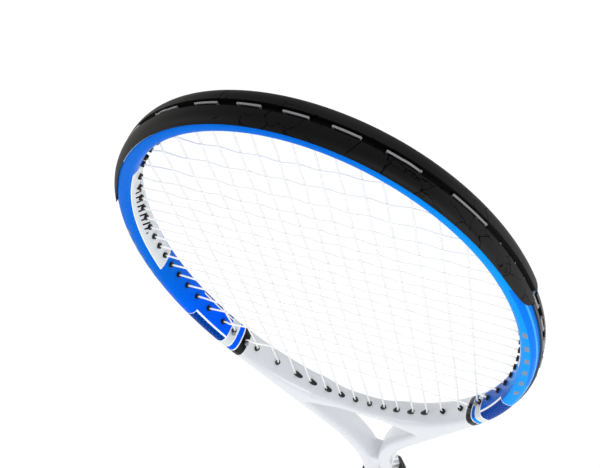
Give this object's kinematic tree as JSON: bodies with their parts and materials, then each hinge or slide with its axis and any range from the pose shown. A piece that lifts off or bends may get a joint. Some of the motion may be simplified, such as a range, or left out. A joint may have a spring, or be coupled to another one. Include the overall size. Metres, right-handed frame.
{
  "type": "tennis racket",
  "caption": "Full-size strung tennis racket with hollow tube frame, throat bridge, bumper guard, grommets, wound octagonal grip and a butt cap with a hinged door.",
  "frame": {"origin": "centre of the butt cap's flat end face", "axes": "+Z from the butt to the tip of the head, +X across the head, Y along the string bed's normal"},
  "size_m": [0.2678, 0.0368, 0.6851],
  "materials": {
    "frame_paint": "gloss",
    "bridge_paint": "pearl gloss",
    "guard_plastic": "satin",
    "grommet_plastic": "satin",
    "string": "satin",
    "pallet_foam": "matte",
    "cap_plastic": "satin",
    "staple_steel": "bright",
    "badge_plastic": "gloss",
    "grip": "matte perforated",
    "tape": "satin",
    "collar_rubber": "matte"
  },
  "bodies": {
    "racket": {"carbon_frame": "frame_paint", "throat_bridge": "bridge_paint", "bumper_guard": "guard_plastic", "grommet_strip_right": "grommet_plastic", "grommet_strip_left": "grommet_plastic", "throat_grommet_strip": "grommet_plastic", "main_strings": "string", "cross_strings": "string", "main_string_loops": "string", "cross_string_loops": "string", "string_knots": "string", "handle_pallet": "pallet_foam", "butt_cap": "cap_plastic", "butt_cap_staples": "staple_steel", "trap_door_pin": "staple_steel", "grip_tape": "grip", "finishing_tape": "tape"},
    "door": {"trap_door": "cap_plastic", "butt_badge": "badge_plastic"},
    "collar": {"rubber_collar": "collar_rubber"}
  },
  "joints": [
    {"name": "trap_door_hinge", "type": "hinge", "parent": "racket", "child": "door", "pos_m": [0, -0.01, 0.0016], "axis": [1, 0, 0], "range_deg": [-95, 0]},
    {"name": "collar_slide", "type": "slide", "parent": "racket", "child": "collar", "axis": [0, 0, 1], "range_m": [0, 0.03]}
  ]
}
